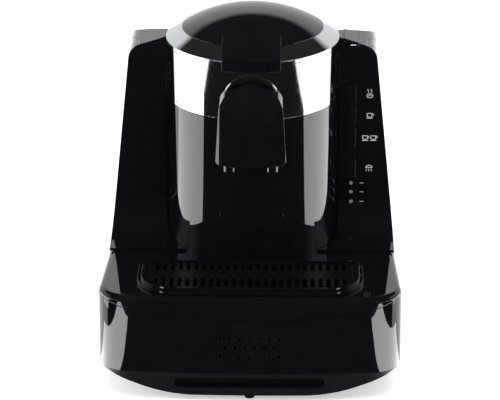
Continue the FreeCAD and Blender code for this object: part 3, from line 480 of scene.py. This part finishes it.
# %% [markdown]
# Now the drawings are wrapped round the band. The hood covers the front, so the
# pattern starts on either side of it, and the two motifs take turns. Short dashes
# run along the upper and lower edge.
# The ribbons lie 0.04 mm outside the plate, so that they never sink into its facets.

# %% Engraved pattern on the band
column_y = 12.5 * MM
band_surface = 72.84 * MM
band_middle = 245.5
first_motif = 45
motif_step = 30
motif_count = 10
dash_level = 21.5
dash_half = 1.1
dash_width = 0.45


def on_band(middle_degrees):
    """A function that wraps flat points round the band, about this angle from the front."""
    def lay(x, y):
        turn = math.radians(middle_degrees) + x * MM / band_surface
        height = (band_middle + y) * MM
        return (band_surface * math.sin(turn), column_y - band_surface * math.cos(turn), height)
    return lay


bm = bmesh.new()
for number in range(motif_count):
    draw = draw_bean_pair if number % 2 else draw_sprig
    draw(bm, on_band(first_motif + motif_step * number))
for angle in range(30, 330, 3):
    for level in (-dash_level, dash_level):
        add_ribbon(bm, [(-dash_half, level), (dash_half, level)], dash_width, on_band(angle))
band_engraving = keep(bm, "band_engraving", chrome_line, "housing")
print("engraving faces", len(band_engraving.data.polygons))

# %% [markdown]
# Small white signs are printed beside the keys. Pad printing leaves a thin, slightly
# dull layer of ink. Each flat drawing is thrown at the panel along Y, so it lies on
# the curved face. The one-cup and two-cup signs share one drawing.

# %% Signs for the keys
white_print = soft_solid("white pad print", "#d8d8d8", "#c6c6c6", 0.45, 0.6, 1.5, 2.0)
sign_x = 99.0
sign_line = 0.5
thin_line = sign_line * 0.8
print_stand = 0.05 * MM


def on_panel(middle_x, middle_z):
    """A function that throws flat points at the control panel from the front."""
    def lay(x, y):
        start = ((middle_x + x) * MM, -0.3, (middle_z + y) * MM)
        spot = surface_hit("control_panel", start, (0, 1, 0))
        return (spot.x, spot.y - print_stand, spot.z)
    return lay


def draw_cup(bm, lay, x):
    body = [(x - 2.2, 1.2), (x - 1.7, -2.0), (x + 1.7, -2.0), (x + 2.2, 1.2)]
    add_ribbon(bm, body, sign_line, lay, closed=True)
    add_ribbon(bm, arc_path(x + 2.4, 0.0, 1.0, 0.9, -80, 80, 8), sign_line, lay)
    add_ribbon(bm, [(x - 2.6, -3.0), (x + 2.6, -3.0)], sign_line, lay)


print("sign line", sign_line)

# %% [markdown]
# The heat key's sign is a bean with two rising lines, and the cleaning key's is a
# spray. Three short lines stand beside the lamps. All of the print is one piece.

# %% Print the signs
heat_sign = on_panel(sign_x, 219.0)
two_cup_sign = on_panel(sign_x, 180.0)
spray_sign = on_panel(sign_x, 152.0)
lamp_heights = (138.5, 130.5, 122.0)
lamp_line_x = sign_x - 6.0

bm = bmesh.new()
add_ribbon(bm, arc_path(0, -2.0, 2.6, 1.8, 0, 340, 20), sign_line, heat_sign, closed=True)
add_ribbon(bm, [(-1.6, -2.3), (0.0, -1.8), (1.6, -1.7)], thin_line, heat_sign)
for x in (-1.3, 1.3):
    add_ribbon(bm, wave_path(x, 0.8, 3.2, 0.5, 8), thin_line, heat_sign)
draw_cup(bm, on_panel(sign_x, 200.0), 0.0)
draw_cup(bm, two_cup_sign, -3.6)
draw_cup(bm, two_cup_sign, 3.4)
add_ribbon(bm, arc_path(0, 0.8, 2.6, 1.8, 0, 180, 14), sign_line, spray_sign)
add_ribbon(bm, [(-3.0, 0.6), (3.0, 0.6)], sign_line, spray_sign)
for x in (-2.0, 0.0, 2.0):
    add_ribbon(bm, [(x, -0.6), (x * 1.25, -2.8)], thin_line, spray_sign)
for z in lamp_heights:
    add_ribbon(bm, [(-1.6, 0.0), (1.6, 0.0)], thin_line, on_panel(lamp_line_x, z))
printed_signs = keep(bm, "printed_signs", white_print, "housing")
print("sign faces", len(printed_signs.data.polygons))

# %% [markdown]
# Four screws hold the pan from below. Each shows as a short round head with a
# softened lower rim, so a capped cone of equal ends and one bevel make it.
# They are four separate pieces, and each object is moved to its place.

# %% Screws under the pan
head_radius = 3.2 * MM
head_height = 1.4 * MM
head_rim = 0.4 * MM
screw_x = 45
screw_front = -77.5
screw_back = 82.5


def screw_head(name, x, y, low):
    """A pan-head screw seen from below, with its head's face at this height."""
    bm = bmesh.new()
    bmesh.ops.create_cone(bm, cap_ends=True, segments=20, radius1=head_radius, radius2=head_radius,
                          depth=head_height)
    rim = [edge for edge in bm.edges if all(vert.co.z < 0 for vert in edge.verts)]
    bmesh.ops.bevel(bm, geom=rim, offset=head_rim, affect="EDGES", segments=2, profile=0.5, material=-1)
    piece = keep(bm, name, zinc_plate, "housing")
    piece.location = (x * MM, y * MM, low + head_height / 2)


pan_low = surface_hit("base_pan", (screw_x * MM, screw_front * MM, -0.05), (0, 0, 1)).z
spots = [(-screw_x, screw_front), (screw_x, screw_front), (-screw_x, screw_back), (screw_x, screw_back)]
for number, (x, y) in enumerate(spots, start=1):
    screw_head("pan_screw_" + str(number), x, y, pan_low - head_height)
print("pan underside at", round(pan_low, 5))

# %% [markdown]
# The stage starts with a white floor. It has a matt paint, which takes the machine's
# shadow, and a glow that only the camera, mirrors and clear plastic see, so that the
# background is white and no extra light falls on matt surfaces.

# %% Floor
floor_glow = 0.45
floor_reach = 6.0


def floor_material():
    material = new_material("white studio floor")
    path = add_node(material, "ShaderNodeLightPath")
    seen = add_node(material, "ShaderNodeMath", {"operation": "MAXIMUM"},
                    links={0: path.outputs["Is Camera Ray"], 1: path.outputs["Is Glossy Ray"]})
    seen = add_node(material, "ShaderNodeMath", {"operation": "MAXIMUM"},
                    links={0: seen.outputs[0], 1: path.outputs["Is Transmission Ray"]})
    share = add_node(material, "ShaderNodeMath", {"operation": "MULTIPLY"},
                     inputs={1: floor_glow}, links={0: seen.outputs[0]})
    paint = add_node(material, "ShaderNodeBsdfDiffuse", inputs={"Color": linear("#f2f2f2")})
    glow = add_node(material, "ShaderNodeEmission", inputs={"Color": (1, 1, 1, 1)},
                    links={"Strength": share.outputs[0]})
    both = add_node(material, "ShaderNodeAddShader", links={0: paint.outputs[0], 1: glow.outputs[0]})
    add_node(material, "ShaderNodeOutputMaterial", links={"Surface": both.outputs[0]})
    return material


floor_paint = floor_material()
print("floor glow", floor_glow)

# %% [markdown]
# The floor and the cards are all flat stage pieces: one face through a few corners.
# A stage piece is for the picture alone, and isn't part of the machine.

# %% Flat stage pieces
def flat_card(name, corners, material):
    """A flat stage piece through these corners."""
    bm = bmesh.new()
    points = [bm.verts.new(corner) for corner in corners]
    bm.faces.new(points)
    mesh = bpy.data.meshes.new(name)
    bm.to_mesh(mesh)
    bm.free()
    card = bpy.data.objects.new(name, mesh)
    bpy.context.scene.collection.objects.link(card)
    mesh.materials.append(material)
    return card


floor_corners = [(-floor_reach, -floor_reach, 0), (floor_reach, -floor_reach, 0),
                 (floor_reach, floor_reach, 0), (-floor_reach, floor_reach, 0)]
floor = flat_card("studio_floor", floor_corners, floor_paint)
print("floor", floor.name)

# %% [markdown]
# Black gloss plastic shows its surroundings, not its own colour, so a photographer
# shapes it with bright and dark cards. We do the same, with cards on the floor that
# only reflections can see.

# %% Card helpers
def glow_material(name, strength):
    material = new_material(name)
    shader = add_node(material, "ShaderNodeEmission", inputs={"Color": (1, 1, 1, 1), "Strength": strength})
    add_node(material, "ShaderNodeOutputMaterial", links={"Surface": shader.outputs[0]})
    return material


def reflection_card(name, corners, material):
    """A card that only mirror reflections can see."""
    card = flat_card(name, corners, material)
    card.visible_camera = False
    card.visible_diffuse = False
    card.visible_shadow = False
    card.visible_transmission = False
    card.visible_volume_scatter = False


def from_column(degrees, distance, height):
    """A spot on the floor in this direction from the column, measured from the front."""
    turn = math.radians(degrees)
    return (distance * math.sin(turn), column_y - distance * math.cos(turn), height)


print("straight ahead of the column", from_column(0, 1.0, 0.0))

# %% [markdown]
# A dark flag covers the floor in front, so the faces that look forward stay black.
# It widens with distance, because the wider view needs more of it far away.
# A small card on either side of the base lights its rounded front corners.

# %% Front flag and corner cards
corner_glow = glow_material("corner card", 6.0)
dark_card = glow_material("dark card", 0.012)
front = cad_box[0][1]
flag_height = 0.001
flag_near = (0.62, front + 0.02)
flag_middle = (1.2, -2.2)
flag_far = (3.0, -5.9)
corner_height = 0.002
corner_in = 0.145
corner_out = 0.26
corner_front = -0.30
corner_back = -0.06

flag_side = [(x, y, flag_height) for x, y in (flag_near, flag_middle, flag_far)]
front_flag = flag_side + [(-x, y, z) for x, y, z in reversed(flag_side)]
reflection_card("front_flag", front_flag, dark_card)
corner_plan = [(corner_in, corner_front), (corner_out, corner_front),
               (corner_out, corner_back), (corner_in, corner_back)]
for name, side in (("corner_card_left", -1), ("corner_card_right", 1)):
    reflection_card(name, [(side * x, y, corner_height) for x, y in corner_plan], corner_glow)
print("front of the base at", round(front, 4))

# %% [markdown]
# The column is a cylinder, so a card on the floor shows on it as an upright strip.
# The strip's place depends on the card's direction from the column, not its distance.
# So the two column cards are cut along lines that start at the column's centre.

# %% Cards for the column
bright_card = glow_material("bright card", 4.2)
column_card_height = 0.003
column_card_near = 0.33
column_card_far = 1.1

for name, start, end in (("column_card_right", 69.5, 118.0), ("column_card_left", -64.5, -112.0)):
    corners = [from_column(start, column_card_near, column_card_height),
               from_column(start, column_card_far, column_card_height),
               from_column(end, column_card_far, column_card_height),
               from_column(end, column_card_near, column_card_height)]
    reflection_card(name, corners, bright_card)

# %% [markdown]
# The world lights the scene evenly for the camera and for matt surfaces. For mirror
# reflections it is dark in front and overhead, and bright low down at the sides and behind.
# The world's Generated coordinate is the direction of the ray: its second part says
# how far it looks back, and its third how high.

# %% World light
dark_sky = 0.03


def studio_world():
    world = bpy.data.worlds.new("studio")
    bpy.context.scene.world = world
    world.use_nodes = True
    world.node_tree.nodes.clear()
    path = add_node(world, "ShaderNodeLightPath")
    direction = add_node(world, "ShaderNodeTexCoord").outputs["Generated"]
    parts = add_node(world, "ShaderNodeSeparateXYZ", links={0: direction})
    low_sky = add_node(world, "ShaderNodeMapRange",
                       inputs={"From Min": 0.50, "From Max": 0.60, "To Min": 1.0, "To Max": 0.0},
                       links={"Value": parts.outputs[2]})
    rear = add_node(world, "ShaderNodeMapRange",
                    inputs={"From Min": -0.25, "From Max": 0.0, "To Min": 0.0, "To Max": 1.0},
                    links={"Value": parts.outputs[1]})
    lit = add_node(world, "ShaderNodeMath", {"operation": "MULTIPLY"},
                   links={0: low_sky.outputs[0], 1: rear.outputs[0]})
    level = add_node(world, "ShaderNodeMapRange", inputs={"To Min": dark_sky, "To Max": 1.0},
                     links={"Value": lit.outputs[0]})
    plain = add_node(world, "ShaderNodeMath", {"operation": "MAXIMUM"},
                     links={0: path.outputs["Is Diffuse Ray"], 1: path.outputs["Is Camera Ray"]})
    strength = add_node(world, "ShaderNodeMix", {"data_type": "FLOAT"},
                        {3: 1.0}, {0: plain.outputs[0], 2: level.outputs[0]})
    back = add_node(world, "ShaderNodeBackground", inputs={"Color": (1, 1, 1, 1)},
                    links={"Strength": strength.outputs[0]})
    add_node(world, "ShaderNodeOutputWorld", links={"Surface": back.outputs[0]})


studio_world()
print("world", bpy.context.scene.world.name)

# %% [markdown]
# Two large square lamps give the soft shadow on the floor. Reflections don't see
# them, because the cards do that work. Their sizes are in metres, their power in watts.

# %% Lamps
def soft_lamp(name, place_at, target, size, power):
    data = bpy.data.lights.new(name, "AREA")
    data.shape = "SQUARE"
    data.size = size
    data.energy = power
    lamp = bpy.data.objects.new(name, data)
    lamp.location = place_at
    lamp.rotation_euler = (Vector(target) - Vector(place_at)).to_track_quat("-Z", "Y").to_euler()
    lamp.visible_glossy = False
    lamp.visible_camera = False
    bpy.context.scene.collection.objects.link(lamp)


soft_lamp("top_light", (0.2, -0.6, 1.9), (0, 0, 0.1), 1.4, 16)
soft_lamp("side_light", (-1.4, -0.9, 1.0), (0, 0, 0.1), 0.9, 6)

# %% [markdown]
# The camera stands far back, a little to the right, and looks down by about 21 degrees
# with a long lens. Its place and lens were fitted to the picture, and the machine's
# visible sizes were read through the same camera.

# %% Camera
camera_right = 0.0477
camera_back = 2.433
camera_height = 1.121
camera_pitch = 21.14
camera_yaw = 1.11
focal_pixels = 3233.8
frame_pixels = 500

camera_data = bpy.data.cameras.new("camera")
camera_data.sensor_width = 36.0
camera_data.lens = focal_pixels / frame_pixels * camera_data.sensor_width
camera = bpy.data.objects.new("camera", camera_data)
camera.location = (camera_right, front - camera_back, camera_height)
camera.rotation_euler = (math.radians(90 - camera_pitch), 0, math.radians(camera_yaw))
bpy.context.scene.collection.objects.link(camera)
bpy.context.scene.camera = camera
bpy.context.scene.view_settings.view_transform = "Standard"
print("lens", round(camera_data.lens, 1))
